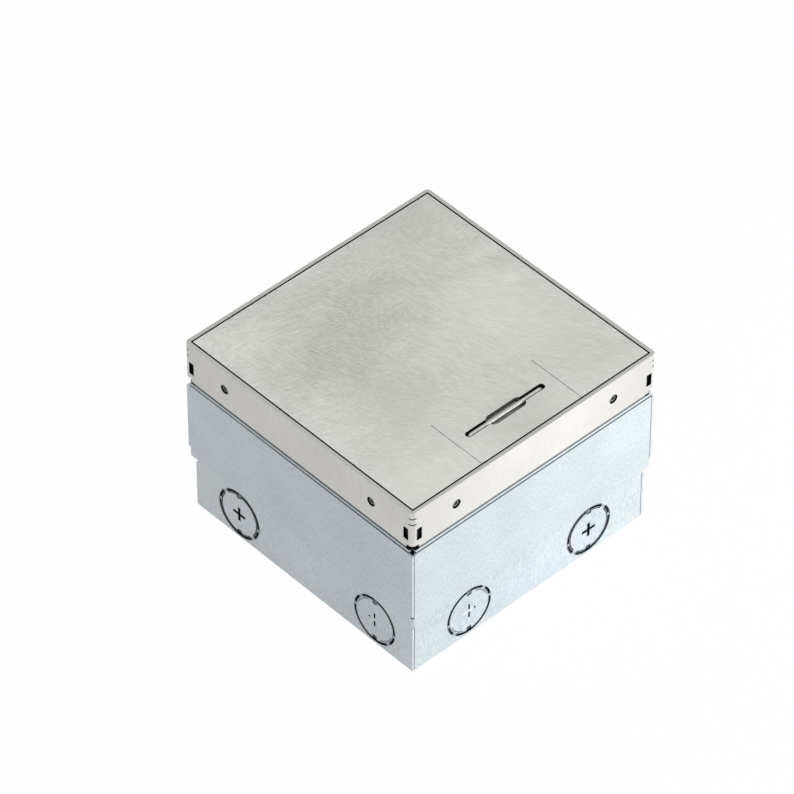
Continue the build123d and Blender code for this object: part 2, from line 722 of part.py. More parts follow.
# Levelling screws: the head turns on the frame flange and the thread runs in the nut of the box
screw_names = {(-1, -1): "front_left", (1, -1): "front_right", (-1, 1): "rear_left", (1, 1): "rear_right"}
screw_length = frame_floor - (box_height - box_sheet - nut_height) + levelling_travel
for (sx, sy), name in screw_names.items():
    place = (sx * levelling_x, sy * levelling_y)
    with BuildPart() as levelling_screw:
        with BuildSketch(Plane.XY.offset(frame_floor)):
            with Locations(place):
                Circle(levelling_head_radius)
        extrude(amount=levelling_head_height)
        chamfer(levelling_screw.edges().group_by(Axis.Z)[-1], length=0.4)
        with BuildSketch(Plane.XY.offset(frame_floor)):
            with Locations(place):
                Circle(levelling_radius)
        extrude(amount=-screw_length)
        with BuildSketch(Plane.XY.offset(frame_floor + levelling_head_height)):
            with Locations(place):
                RegularPolygon(levelling_socket / 2, 6)
        extrude(amount=-levelling_head_height + 0.4, mode=Mode.SUBTRACT)
    save(levelling_screw, f"levelling_screw_{name}")
    with BuildPart() as retaining_ring:
        with BuildSketch(Plane.XY.offset(frame_bottom - latch_clearance)):
            with Locations(place):
                Circle(nut_radius)
                Circle(levelling_radius, mode=Mode.SUBTRACT)
        extrude(amount=-ring_thickness)
    save(retaining_ring, f"retaining_ring_{name}")

# Device carrier on four pillars
carrier_bottom = carrier_top - carrier_sheet
insert_places = [(-insert_pitch / 2, insert_pitch / 2), (insert_pitch / 2, insert_pitch / 2),
                 (-insert_pitch / 2, -insert_pitch / 2), (insert_pitch / 2, -insert_pitch / 2)]
with BuildPart() as device_carrier:
    half = carrier_side / 2
    block((-half, half), (-half, half), (carrier_top - carrier_edge, carrier_top))
    fillet(device_carrier.edges().filter_by(Axis.Y).group_by(Axis.Z)[-1], radius=2 * carrier_sheet)
    block((-half + carrier_sheet, half - carrier_sheet), (-half - 1, half + 1),
          (carrier_top - carrier_edge - 1, carrier_bottom), Mode.SUBTRACT)
    with BuildSketch(Plane.XY.offset(carrier_top + 1)):
        with Locations(*insert_places):
            Rectangle(insert_body + 2 * insert_clearance, insert_body + 2 * insert_clearance)
    extrude(amount=-carrier_sheet - 2, mode=Mode.SUBTRACT)
    with Locations((0, 0, carrier_top)):
        with GridLocations(2 * carrier_screw_offset, 2 * carrier_screw_offset, 2, 2):
            Hole(pillar_screw_radius + insert_clearance, depth=2 * carrier_sheet)
save(device_carrier, "device_carrier")

with BuildPart() as carrier_pillars:
    with BuildSketch(Plane.XY.offset(box_sheet)):
        with GridLocations(2 * carrier_screw_offset, 2 * carrier_screw_offset, 2, 2):
            RegularPolygon(pillar_radius, 6)
    extrude(amount=carrier_bottom - box_sheet)
    with BuildSketch(Plane.XY.offset(carrier_bottom)):
        with GridLocations(2 * carrier_screw_offset, 2 * carrier_screw_offset, 2, 2):
            Circle(pillar_screw_radius)
    extrude(amount=-2 * carrier_edge, mode=Mode.SUBTRACT)
save(carrier_pillars, "carrier_pillars")

with BuildPart() as carrier_screws:
    with BuildSketch(Plane.XY.offset(carrier_top)):
        with GridLocations(2 * carrier_screw_offset, 2 * carrier_screw_offset, 2, 2):
            Circle(pillar_head_radius)
    extrude(amount=pillar_screw_radius)
    with BuildSketch(Plane.XY.offset(carrier_top + pillar_screw_radius)):
        with GridLocations(2 * carrier_screw_offset, 2 * carrier_screw_offset, 2, 2):
            Rectangle(1.3 * pillar_head_radius, screw_cross_width)
            Rectangle(screw_cross_width, 1.3 * pillar_head_radius)
    extrude(amount=-screw_cross_depth, mode=Mode.SUBTRACT)
    with BuildSketch(Plane.XY.offset(carrier_top)):
        with GridLocations(2 * carrier_screw_offset, 2 * carrier_screw_offset, 2, 2):
            Circle(pillar_screw_radius)
    extrude(amount=-carrier_edge)
save(carrier_screws, "carrier_screws")

# Socket inserts, rear left and rear right: a bezel with its round well on a base with two contact holes
insert_top = carrier_top + insert_flange
insert_bottom = carrier_top - insert_depth
well_floor = insert_top - well_depth
for name, side in sides.items():
    centre = (side * insert_pitch / 2, insert_pitch / 2)
    with BuildPart() as socket_insert:
        with BuildSketch(Plane.XY.offset(carrier_top)):
            with Locations(centre):
                RectangleRounded(insert_side, insert_side, insert_clearance * 4)
        extrude(amount=insert_flange)
        fillet(socket_insert.edges().group_by(Axis.Z)[-1], radius=insert_edge_radius)
        with BuildSketch(Plane.XY.offset(carrier_top)):
            with Locations(centre):
                Rectangle(insert_body, insert_body)
        extrude(amount=well_floor - carrier_top)
        with BuildSketch(Plane.XY.offset(well_floor)):
            with Locations(centre):
                Circle(well_radius)
                with Locations((-well_radius, 0), (well_radius, 0)):
                    Rectangle(2 * earth_clip_width / 2, earth_clip_width, mode=Mode.SUBTRACT)
                with Locations((0, -well_radius), (0, well_radius)):
                    Rectangle(earth_clip_width, 2 * earth_clip_sheet)
        extrude(amount=well_depth + 1, mode=Mode.SUBTRACT)
    save(socket_insert, f"socket_insert_{name}")
with BuildPart() as socket_bases:
    with BuildSketch(Plane.XY.offset(well_floor)):
        with Locations((-insert_pitch / 2, insert_pitch / 2), (insert_pitch / 2, insert_pitch / 2)):
            Rectangle(insert_body, insert_body)
            with Locations((-contact_spacing / 2, 0), (contact_spacing / 2, 0)):
                Circle(contact_radius + running_clearance, mode=Mode.SUBTRACT)
    extrude(amount=-contact_length - 1)
    with BuildSketch(Plane.XY.offset(well_floor - contact_length - 1)):
        with Locations((-insert_pitch / 2, insert_pitch / 2), (insert_pitch / 2, insert_pitch / 2)):
            Rectangle(insert_body, insert_body)
    extrude(amount=insert_bottom - well_floor + contact_length + 1)
save(socket_bases, "socket_bases")

# Earth clips at the front and back of each well
lip_height = insert_top - 1 - well_depth / 3
with BuildPart() as earth_clips:
    for side in sides.values():
        middle = side * insert_pitch / 2
        x_range = (middle - earth_clip_width / 2 + 0.1, middle + earth_clip_width / 2 - 0.1)
        for sy in (-1, 1):
            edge = insert_pitch / 2 + sy * (well_radius + earth_clip_sheet)
            wall = sorted((edge, edge - sy * earth_clip_sheet))
            lip = sorted((edge, edge - sy * 3 * earth_clip_sheet))
            block(x_range, wall, (well_floor, insert_top - 1))
            block(x_range, lip, (lip_height, lip_height + earth_clip_sheet))
            block(x_range, lip, (well_floor, well_floor + earth_clip_sheet))
save(earth_clips, "earth_clips")

with BuildPart() as socket_contacts:
    with BuildSketch(Plane.XY.offset(well_floor - 0.5)):
        with Locations((-insert_pitch / 2, insert_pitch / 2), (insert_pitch / 2, insert_pitch / 2)):
            with Locations((-contact_spacing / 2, 0), (contact_spacing / 2, 0)):
                Circle(contact_radius)
                Circle(contact_bore, mode=Mode.SUBTRACT)
    extrude(amount=-contact_length)
save(socket_contacts, "socket_contacts")

# Data insert, front left, with two jacks under hinged dust flaps
data_centre = (-insert_pitch / 2, -insert_pitch / 2)
jack_places = [(data_centre[0] - jack_pitch / 2, data_centre[1]),
               (data_centre[0] + jack_pitch / 2, data_centre[1])]
barrel_y = data_centre[1] + dust_flap_y / 2 + dust_barrel
barrel_z = insert_top + dust_barrel
with BuildPart() as data_insert:
    with BuildSketch(Plane.XY.offset(carrier_top)):
        with Locations(data_centre):
            RectangleRounded(insert_side, insert_side, insert_clearance * 4)
    extrude(amount=insert_flange)
    fillet(data_insert.edges().group_by(Axis.Z)[-1], radius=insert_edge_radius)
    with BuildSketch(Plane.XY.offset(carrier_top)):
        with Locations(data_centre):
            Rectangle(insert_body, insert_body)
    extrude(amount=-insert_depth / 2)
    with BuildSketch(Plane.XY.offset(insert_top + 1)):
        with Locations(*jack_places):
            Rectangle(jack_body, jack_body_y)
    extrude(amount=-insert_depth - insert_flange - 2, mode=Mode.SUBTRACT)
    for x, y in jack_places:
        for sx in (-1, 1):
            ear = x + sx * (dust_flap_x / 2 + dust_ear / 2 - dust_ear)
            with BuildSketch(Plane.YZ.offset(ear - dust_ear / 2)):
                with Locations((barrel_y, barrel_z - dust_barrel / 2)):
                    Rectangle(2 * dust_barrel, dust_barrel)
                with Locations((barrel_y, barrel_z)):
                    Circle(dust_barrel)
                    Circle(dust_stub + running_clearance, mode=Mode.SUBTRACT)
            extrude(amount=dust_ear)
save(data_insert, "data_insert")

with BuildPart() as data_jacks:
    with BuildSketch(Plane.XY.offset(insert_top - 0.5)):
        with Locations(*jack_places):
            Rectangle(jack_body - 0.02, jack_body_y - 0.02)
    extrude(amount=-jack_height - jack_base)
    with BuildSketch(Plane.XY.offset(insert_top)):
        with Locations(*jack_places):
            Rectangle(jack_width, jack_depth_y)
            with Locations((0, -jack_depth_y / 2)):
                Rectangle(jack_width / 2, 2.4)
    extrude(amount=-jack_height, mode=Mode.SUBTRACT)
save(data_jacks, "data_jacks")

for (x, y), name in zip(jack_places, sides):
    barrel_half = dust_flap_x / 2 - dust_ear - running_clearance * 2
    with BuildPart() as dust_flap:
        block((x - dust_flap_x / 2, x + dust_flap_x / 2), (y - dust_flap_y / 2, barrel_y - dust_barrel - 0.2),
              (insert_top, insert_top + dust_flap_sheet))
        block((x - barrel_half, x + barrel_half), (barrel_y - dust_barrel - 0.3, barrel_y),
              (barrel_z - dust_flap_sheet / 2, barrel_z + dust_flap_sheet / 2))
        with BuildSketch(Plane.YZ.offset(x - barrel_half)):
            with Locations((barrel_y, barrel_z)):
                Circle(dust_barrel - running_clearance)
        extrude(amount=2 * barrel_half)
        with BuildSketch(Plane.YZ.offset(x - barrel_half - dust_ear)):
            with Locations((barrel_y, barrel_z)):
                Circle(dust_stub)
        extrude(amount=2 * barrel_half + 2 * dust_ear)
        block((x - dust_flap_x / 4, x + dust_flap_x / 4), (y - dust_flap_y / 2 - 1, y - dust_flap_y / 2),
              (insert_top + 0.2, insert_top + dust_flap_sheet))
    save(dust_flap, f"dust_flap_{name}")

# Blank insert, front right
with BuildPart() as blank_insert:
    with BuildSketch(Plane.XY.offset(carrier_top)):
        with Locations((insert_pitch / 2, -insert_pitch / 2)):
            RectangleRounded(insert_side, insert_side, insert_clearance * 4)
    extrude(amount=insert_flange)
    fillet(blank_insert.edges().group_by(Axis.Z)[-1], radius=insert_edge_radius)
    with BuildSketch(Plane.XY.offset(carrier_top)):
        with Locations((insert_pitch / 2, -insert_pitch / 2)):
            Rectangle(insert_body, insert_body)
            Rectangle(insert_body - 2 * blank_wall, insert_body - 2 * blank_wall, mode=Mode.SUBTRACT)
    extrude(amount=-carrier_edge)
save(blank_insert, "blank_insert")

# Partition that keeps mains and data wiring apart, with a foot on the floor
with BuildPart() as partition_plate:
    wall_half = carrier_side / 2
    block((-wall_half, wall_half), (-partition_sheet / 2, partition_sheet / 2),
          (box_sheet, insert_bottom - 1))
    block((-wall_half, wall_half), (-partition_sheet / 2, partition_foot),
          (box_sheet, box_sheet + partition_sheet))
save(partition_plate, "partition_plate")

# Cable clamps on the floor behind the front knock-outs, and their screws
clamp_y = -tray_half + box_sheet + clamp_width
clamp_places = [(-clamp_x, clamp_y), (clamp_x, clamp_y)]
with BuildPart() as cable_clamps:
    for x, y in clamp_places:
        with BuildSketch(Plane.XZ.offset(-y - clamp_width / 2)):
            with Locations((x, box_sheet)):
                with Locations((0, clamp_rise / 2)):
                    Rectangle(clamp_span - 2 * clamp_width / 2, clamp_rise)
                with Locations((0, clamp_sheet / 2)):
                    Rectangle(clamp_span, clamp_sheet)
                with Locations((0, (clamp_rise - clamp_sheet) / 2)):
                    Rectangle(clamp_span - clamp_width - 2 * clamp_sheet, clamp_rise - clamp_sheet,
                              mode=Mode.SUBTRACT)
        extrude(amount=clamp_width)
save(cable_clamps, "cable_clamps")
with BuildPart() as clamp_screws:
    with BuildSketch(Plane.XY.offset(box_sheet + clamp_sheet)):
        for x, y in clamp_places:
            with Locations((x, y)):
                with GridLocations(clamp_span - clamp_width / 2, 1, 2, 1):
                    Circle(pillar_screw_radius)
    extrude(amount=pillar_screw_radius)
    with BuildSketch(Plane.XY.offset(box_sheet + clamp_sheet + pillar_screw_radius)):
        for x, y in clamp_places:
            with Locations((x, y)):
                with GridLocations(clamp_span - clamp_width / 2, 1, 2, 1):
                    Rectangle(1.3 * pillar_screw_radius, screw_cross_width / 2)
                    Rectangle(screw_cross_width / 2, 1.3 * pillar_screw_radius)
    extrude(amount=-screw_cross_depth, mode=Mode.SUBTRACT)
save(clamp_screws, "clamp_screws")

# Earth stud and its nut
earth_place = (insert_pitch, tray_half - 3 * earth_stud_radius)
with BuildPart() as earth_stud:
    with BuildSketch(Plane.XY.offset(box_sheet)):
        with Locations(earth_place):
            Circle(earth_stud_radius)
    extrude(amount=earth_stud_height)
save(earth_stud, "earth_stud")
with BuildPart() as earth_nut:
    with BuildSketch(Plane.XY.offset(box_sheet)):
        with Locations(earth_place):
            Circle(2 * earth_stud_radius)
            Circle(earth_stud_radius, mode=Mode.SUBTRACT)
    extrude(amount=partition_sheet)
    with BuildSketch(Plane.XY.offset(box_sheet + partition_sheet)):
        with Locations(earth_place):
            RegularPolygon(1.8 * earth_stud_radius, 6)
            Circle(earth_stud_radius, mode=Mode.SUBTRACT)
    extrude(amount=nut_height)
save(earth_nut, "earth_nut")
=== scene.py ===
import bpy
import json
from math import cos, pi, radians, sin
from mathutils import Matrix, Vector


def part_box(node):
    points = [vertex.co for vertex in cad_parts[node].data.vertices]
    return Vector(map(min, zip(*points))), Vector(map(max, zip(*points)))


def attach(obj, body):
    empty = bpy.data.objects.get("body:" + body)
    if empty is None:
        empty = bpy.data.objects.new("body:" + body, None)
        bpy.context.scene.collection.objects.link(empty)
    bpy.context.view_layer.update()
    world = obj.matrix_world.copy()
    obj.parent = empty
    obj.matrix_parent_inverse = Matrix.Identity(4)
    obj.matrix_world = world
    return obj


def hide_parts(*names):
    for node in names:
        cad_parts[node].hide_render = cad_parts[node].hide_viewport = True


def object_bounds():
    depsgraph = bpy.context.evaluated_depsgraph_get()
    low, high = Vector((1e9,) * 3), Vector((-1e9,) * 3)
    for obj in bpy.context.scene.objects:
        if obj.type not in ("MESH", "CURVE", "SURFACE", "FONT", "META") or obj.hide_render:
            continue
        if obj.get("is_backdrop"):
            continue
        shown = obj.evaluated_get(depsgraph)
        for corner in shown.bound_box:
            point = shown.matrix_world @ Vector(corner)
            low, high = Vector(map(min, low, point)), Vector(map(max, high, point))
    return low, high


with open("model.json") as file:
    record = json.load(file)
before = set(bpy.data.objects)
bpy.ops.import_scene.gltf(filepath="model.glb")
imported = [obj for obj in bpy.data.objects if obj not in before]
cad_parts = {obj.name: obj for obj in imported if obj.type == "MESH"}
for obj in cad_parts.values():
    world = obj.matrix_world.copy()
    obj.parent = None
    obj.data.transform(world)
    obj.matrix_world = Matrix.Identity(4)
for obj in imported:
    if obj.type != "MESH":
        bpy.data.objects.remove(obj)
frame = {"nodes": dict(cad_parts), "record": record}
bpy.ops.object.select_all(action="DESELECT")
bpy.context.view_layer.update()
scene = bpy.context.scene
MM = 0.001


# Camera: the photograph's three-quarter view from above, taken from far away with a long lens
AZIMUTH = radians(-42.9946)
ELEVATION = radians(44.3546)
DISTANCE = 2544.5 * MM
TARGET = Vector((1.83 * MM, 16.25 * MM, 55.5 * MM))
back = Vector((sin(AZIMUTH) * cos(ELEVATION), -cos(AZIMUTH) * cos(ELEVATION), sin(ELEVATION)))
camera_data = bpy.data.cameras.new("camera")
camera_data.sensor_width = 36.0
camera_data.lens = 271.1
camera_data.clip_start = 0.1
camera_data.clip_end = 50.0
camera = bpy.data.objects.new("camera", camera_data)
scene.collection.objects.link(camera)
camera.location = TARGET + back * DISTANCE
camera.rotation_euler = back.to_track_quat("Z", "Y").to_euler()
scene.camera = camera
scene.view_settings.view_transform = "Standard"


# Steps that the materials are built from
def colour(code):
    """An sRGB hex colour as linear red, green, blue and alpha."""
    values = []
    for start in (0, 2, 4):
        level = int(code[start:start + 2], 16) / 255
        values.append(level / 12.92 if level <= 0.04045 else ((level + 0.055) / 1.055) ** 2.4)
    return (*values, 1.0)


def add_node(material, kind, inputs=None, **settings):
    """Adds a node with its settings, and sets or links each input that is named."""
    new = material.node_tree.nodes.new(kind)
    for name, value in settings.items():
        setattr(new, name, value)
    for name, value in (inputs or {}).items():
        if isinstance(value, bpy.types.NodeSocket):
            material.node_tree.links.new(value, new.inputs[name])
        else:
            new.inputs[name].default_value = value
    return new


def start_material(name):
    """A material with nothing but its shader and its output."""
    material = bpy.data.materials.new(name)
    material.use_nodes = True
    material.node_tree.nodes.clear()
    shader = add_node(material, "ShaderNodeBsdfPrincipled")
    add_node(material, "ShaderNodeOutputMaterial", {"Surface": shader.outputs[0]})
    return material


def find_node(material, kind):
    """The material's only node of a kind."""
    return next(node for node in material.node_tree.nodes if node.type == kind)


def set_shader(material, **values):
    """Sets or links inputs of the material's shader, each named with _ for its spaces."""
    shader = find_node(material, "BSDF_PRINCIPLED")
    for name, value in values.items():
        socket = shader.inputs[name.replace("_", " ")]
        if isinstance(value, bpy.types.NodeSocket):
            material.node_tree.links.new(value, socket)
        else:
            socket.default_value = value


def maths(material, operation, *values):
    """One maths step on one or more values."""
    return add_node(material, "ShaderNodeMath", dict(enumerate(values)), operation=operation).outputs[0]


def vector_maths(material, operation, *values):
    """One maths step on one or more vectors. A length or a distance comes out as a value."""
    step = add_node(material, "ShaderNodeVectorMath", dict(enumerate(values)), operation=operation)
    return step.outputs["Value" if operation in ("LENGTH", "DISTANCE") else "Vector"]


def combine(material, x, y, z=0.0):
    """A vector made of three values."""
    return add_node(material, "ShaderNodeCombineXYZ", {"X": x, "Y": y, "Z": z}).outputs[0]


def stretch(material, vector, scale):
    """A vector with each of its parts multiplied."""
    return add_node(material, "ShaderNodeMapping", {"Vector": vector, "Scale": scale}).outputs[0]


def noise(material, vector, scale, detail, **inputs):
    """Soft random clouds between 0 and 1."""
    settings = {"Vector": vector, "Scale": scale, "Detail": detail, **inputs}
    return add_node(material, "ShaderNodeTexNoise", settings).outputs["Fac"]


def remap(material, value, start, end, low=0.0, high=1.0, **settings):
    """Takes a value from the range start to end over to the range low to high."""
    limits = {"Value": value, "From Min": start, "From Max": end, "To Min": low, "To Max": high}
    return add_node(material, "ShaderNodeMapRange", limits, **settings).outputs[0]


def mix_colours(material, factor, first, second):
    """The first colour where the factor is 0, the second where it is 1."""
    colours = {"Factor": factor, 6: first, 7: second}
    return add_node(material, "ShaderNodeMix", colours, data_type="RGBA").outputs[2]


def relief(material, height, strength):
    """Normals of a surface with a tenth of a millimetre of relief."""
    settings = {"Height": height, "Strength": strength, "Distance": 0.1 * MM}
    return add_node(material, "ShaderNodeBump", settings).outputs[0]


def paint(material, mask, code):
    """Lays another colour over the base colour wherever the mask is 1."""
    under = find_node(material, "BSDF_PRINCIPLED").inputs["Base Color"].links[0].from_socket
    set_shader(material, Base_Color=mix_colours(material, mask, under, colour(code)))


def object_place(material):
    """The Object coordinates, in which every texture and mask is laid."""
    return add_node(material, "ShaderNodeTexCoord").outputs["Object"]


def axes(material, output="Object"):
    """The X, Y and Z parts of an Object coordinate or of a face's own normal."""
    source = add_node(material, "ShaderNodeTexCoord").outputs[output]
    parts = add_node(material, "ShaderNodeSeparateXYZ", {0: source})
    return parts.outputs["X"], parts.outputs["Y"], parts.outputs["Z"]


def between(material, value, low, high):
    """1 where a length lies between two values in millimetres."""
    return maths(material, "COMPARE", value, (low + high) / 2 * MM, (high - low) / 2 * MM)


def every(material, first, *others):
    """1 where all the masks are 1. A plain number among them is how strongly to paint there."""
    for other in others:
        first = maths(material, "MULTIPLY", first, other)
    return first


def outside(material, mask):
    """1 where the mask is 0."""
    return maths(material, "SUBTRACT", 1.0, mask)


def plan(material):
    """The larger and the smaller distance from the two middle planes, and the height."""
    x, y, z = axes(material)
    x = maths(material, "ABSOLUTE", x)
    y = maths(material, "ABSOLUTE", y)
    return maths(material, "MAXIMUM", x, y), maths(material, "MINIMUM", x, y), z


def upright(material):
    """1 on the faces that stand upright, 0 on level ones."""
    facing = axes(material, "Normal")[2]
    return maths(material, "COMPARE", facing, 0.0, 0.5)


def soft_spot(material, x_mm, y_mm, radius_mm, strength):
    """A round patch seen from above that fades out from its middle."""
    flat = stretch(material, object_place(material), (1, 1, 0))
    away = vector_maths(material, "DISTANCE", flat, (x_mm * MM, y_mm * MM, 0))
    return remap(material, away, radius_mm * MM, 0.0, 0.0, strength, interpolation_type="SMOOTHSTEP")


# Kinds of surface
def sanding_pass(material, place, patch_mm, seed):
    """Short arcs left by one pass of a sander: each patch has its own sweep centre a long way off."""
    main_direction = (-0.15, -0.1, -0.5)
    reach = 0.26
    scratch_gap = 0.5 * MM
    strokes_per_radian = 24.0
    pass_offset = (seed * 0.037, seed * 0.053, 0)
    pass_layer = seed * 3.7
    moved = vector_maths(material, "ADD", place, pass_offset)
    patch = add_node(material, "ShaderNodeTexVoronoi", {"Vector": moved, "Scale": 1 / (patch_mm * MM)},
                     voronoi_dimensions="2D")
    direction = vector_maths(material, "ADD", patch.outputs["Color"], main_direction)
    sweep = add_node(material, "ShaderNodeVectorMath", {0: direction, "Scale": reach},
                     operation="SCALE").outputs[0]
    centre = vector_maths(material, "ADD", patch.outputs["Position"], sweep)
    arm = vector_maths(material, "SUBTRACT", moved, centre)
    parts = add_node(material, "ShaderNodeSeparateXYZ", {0: arm})
    radius = vector_maths(material, "LENGTH", combine(material, parts.outputs["X"], parts.outputs["Y"]))
    angle = maths(material, "ARCTAN2", parts.outputs["Y"], parts.outputs["X"])
    across = maths(material, "MULTIPLY", radius, 1 / scratch_gap)
    along = maths(material, "MULTIPLY", angle, strokes_per_radian)
    return noise(material, combine(material, across, along, pass_layer), 1.0, 1.5, Roughness=0.6)


def ground_stainless(name, base, dark, light):
    """Stainless sheet ground with an orbital sander: overlapping arcs and soft clouds.
    The real scratches are far finer, and are drawn half a millimetre apart so that they show."""
    cloud_size = 52 * MM
    share_of_scratches = 0.4
    scratch_range = (1.1, 1.9)
    cloud_range = (0.36, 0.64)
    roughness_range = (0.36, 0.5)
    material = start_material(name)
    place = object_place(material)
    total = sanding_pass(material, place, 24, 1)
    for patch_mm, seed in ((33, 2), (42, 3)):
        total = maths(material, "ADD", total, sanding_pass(material, place, patch_mm, seed))
    scratch = remap(material, total, *scratch_range)
    drawn_out = stretch(material, place, (0.4, 1, 1))
    cloud = remap(material, noise(material, drawn_out, 1 / cloud_size, 2.0, Distortion=0.6), *cloud_range)
    clouded = mix_colours(material, cloud, colour(dark), colour(light))
    worn = mix_colours(material, scratch, colour(base), colour("F2F3EE"))
    set_shader(material, Base_Color=mix_colours(material, share_of_scratches, clouded, worn),
               Roughness=remap(material, scratch, 0.0, 1.0, *roughness_range),
               Normal=relief(material, scratch, 0.12), Metallic=0.85)
    return material


def drawn_metal(name, base, shade, grain_mm, scale, metallic, roughness, streak=0.5):
    """Rolled or brushed metal: a fine grain, longer along one direction, in two close tones."""
    cloud_size = 24 * MM
    unevenness = 0.06
    material = start_material(name)
    place = object_place(material)
    grain = noise(material, stretch(material, place, scale), 1 / (grain_mm * MM), 3.0, Roughness=0.65)
    cloud = noise(material, place, 1 / cloud_size, 2.0)
    blend = add_node(material, "ShaderNodeMix", {"Factor": streak, 2: cloud, 3: grain}).outputs[0]
    level = remap(material, blend, 0.3, 0.7)
    set_shader(material, Base_Color=mix_colours(material, level, colour(shade), colour(base)),
               Roughness=remap(material, grain, 0.0, 1.0, roughness - unevenness, roughness + unevenness),
               Normal=relief(material, grain, 0.1), Metallic=metallic)
    return material


def moulded_plastic(name, base, roughness):
    """Moulded ABS or polyamide: an even colour with the slight orange peel of the mould."""
    peel_size = 0.9 * MM
    unevenness = 0.05
    material = start_material(name)
    peel = noise(material, object_place(material), 1 / peel_size, 2.0)
    set_shader(material, Base_Color=colour(base),
               Roughness=remap(material, peel, 0.0, 1.0, roughness - unevenness, roughness + unevenness),
               Normal=relief(material, peel, 0.08))
    return material


# Places on the finishes are in millimetres: spans from the middle of the box, heights from its underside
# Near-black of the painted shade in the gap at the lid, on the lid's edges and on the frame
GAP_SHADE_BLACK = "101010"
# Near-black of the painted shade in the frame's windows and screw holes
OPENING_SHADE = "141516"

# Lid: painted reflection: the ground sheet is painted lighter towards its front edge, where it mirrors
# more of the studio, and in lighter and darker patches elsewhere
SHEEN_START = 5
SHEEN_END = -62
SHEEN_STRENGTH = 0.34
lid_steel = ground_stainless("ground_stainless_steel", "A9A8A3", "B0AFAA", "D3D2CD")
lid_side, lid_y = axes(lid_steel)[:2]
lid_side = maths(lid_steel, "ABSOLUTE", lid_side)
front_sheen = remap(lid_steel, lid_y, SHEEN_START * MM, SHEEN_END * MM, 0.0, SHEEN_STRENGTH)
paint(lid_steel, front_sheen, "DAD9D4")
paint(lid_steel, soft_spot(lid_steel, 40, -3, 45, 0.35), "E2E1DC")
paint(lid_steel, soft_spot(lid_steel, 45, 62, 45, 0.3), "A3A29D")
paint(lid_steel, soft_spot(lid_steel, -28, -14, 30, 0.3), "A3A29D")
paint(lid_steel, soft_spot(lid_steel, 2, -66, 34, 0.35), "A9A8A3")

# Painted shade: the lid's upright cut edges are painted black, so every gap round it reads as a black
# line, but not the flap's rear edge, and the walls of the finger recess are painted a mid grey as painted
# shade
FLAP_REAR_EDGE = (-37.3, -36.9)
FLAP_HALF_WIDTH = 28.4
RECESS_SPAN = (-57, -46)
RECESS_HALF_LENGTH = 11.5
cut_edge = upright(lid_steel)
flap_rear_edge = every(lid_steel, between(lid_steel, lid_y, *FLAP_REAR_EDGE),
                       between(lid_steel, lid_side, 0, FLAP_HALF_WIDTH))
painted_gap_shade = maths(lid_steel, "SUBTRACT", cut_edge, every(lid_steel, cut_edge, flap_rear_edge))
paint(lid_steel, painted_gap_shade, GAP_SHADE_BLACK)
recess_shade = every(lid_steel, cut_edge, between(lid_steel, lid_side, 0, RECESS_HALF_LENGTH),
               between(lid_steel, lid_y, *RECESS_SPAN))
paint(lid_steel, recess_shade, "8C8C86")

# Painted shade: a dark band is painted round the edge of the handle's slot, so that the slot reads wider
slot_low, slot_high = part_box("handle_bail")
slot_y = (slot_low[1] + slot_high[1]) / 2
SLOT_HALF_STRAIGHT = 20.75
SLOT_SHADE_HALF_WIDTH = 1.65
past_straight = maths(lid_steel, "SUBTRACT", lid_side, SLOT_HALF_STRAIGHT * MM)
past_straight = maths(lid_steel, "MAXIMUM", past_straight, 0.0)
beside_slot = maths(lid_steel, "SUBTRACT", lid_y, slot_y)
from_slot = vector_maths(lid_steel, "LENGTH", combine(lid_steel, past_straight, beside_slot))
paint(lid_steel, between(lid_steel, from_slot, 0, SLOT_SHADE_HALF_WIDTH), "2A2A28")

# Frame: painted shade: its rim, which faces up, is painted darker than its walls, and so are the ends of
# its front wall
frame_steel = drawn_metal("satin_stainless_steel", "F9F7F3", "EDEBE7", 2.5, (1, 1, 0.25), 0.6, 0.42)
rim_painted_shade = maths(frame_steel, "GREATER_THAN", axes(frame_steel, "Normal")[2], 0.5)
paint(frame_steel, rim_painted_shade, "BCBBB6")
frame_x, frame_y = axes(frame_steel)[:2]
FRONT_SPAN = (-70.2, -69.6)
front_side = between(frame_steel, frame_y, *FRONT_SPAN)
for start_mm, end_mm, tone in ((25, 66, "E0DEDA"), (-15, -66, "EAE8E4")):
    end_shade = remap(frame_steel, frame_x, start_mm * MM, end_mm * MM)
    paint(frame_steel, every(frame_steel, front_side, end_shade), tone)

# Painted shade: the frame's upright faces by the gap at the lid are painted black, the cut faces of its
# windows and screw holes are painted dark, and a dark line is painted round each corner at each slit
STRIP_SPAN = (60, 69)
STRIP_HEIGHTS = (94, 98)
FRAME_WALL_SPAN = (68.3, 69.95)
WINDOW_SPAN = (64.5, 67.99)
WINDOW_HEIGHTS = (78, 90)
SCREW_HOLE_SPAN = (42, 48)
SCREW_HOLE_HEIGHTS = (84, 90)
CORNER_SPAN = (67.9, 70.1)
SLIT_MIDDLES = (94.2, 90.9)
HALF_SLIT = 0.3
outer, inner, height = plan(frame_steel)
strip = every(frame_steel, between(frame_steel, outer, *STRIP_SPAN),
              between(frame_steel, height, *STRIP_HEIGHTS), upright(frame_steel))
paint(frame_steel, strip, GAP_SHADE_BLACK)
in_wall = between(frame_steel, outer, *FRAME_WALL_SPAN)
for span, heights in ((WINDOW_SPAN, WINDOW_HEIGHTS), (SCREW_HOLE_SPAN, SCREW_HOLE_HEIGHTS)):
    opening_shade = every(frame_steel, in_wall, between(frame_steel, inner, *span),
                    between(frame_steel, height, *heights))
    paint(frame_steel, opening_shade, OPENING_SHADE)
at_corner = between(frame_steel, inner, *CORNER_SPAN)
for middle in SLIT_MIDDLES:
    slit = every(frame_steel, at_corner,
                 between(frame_steel, height, middle - HALF_SLIT, middle + HALF_SLIT))
    paint(frame_steel, slit, "1C1C1B")
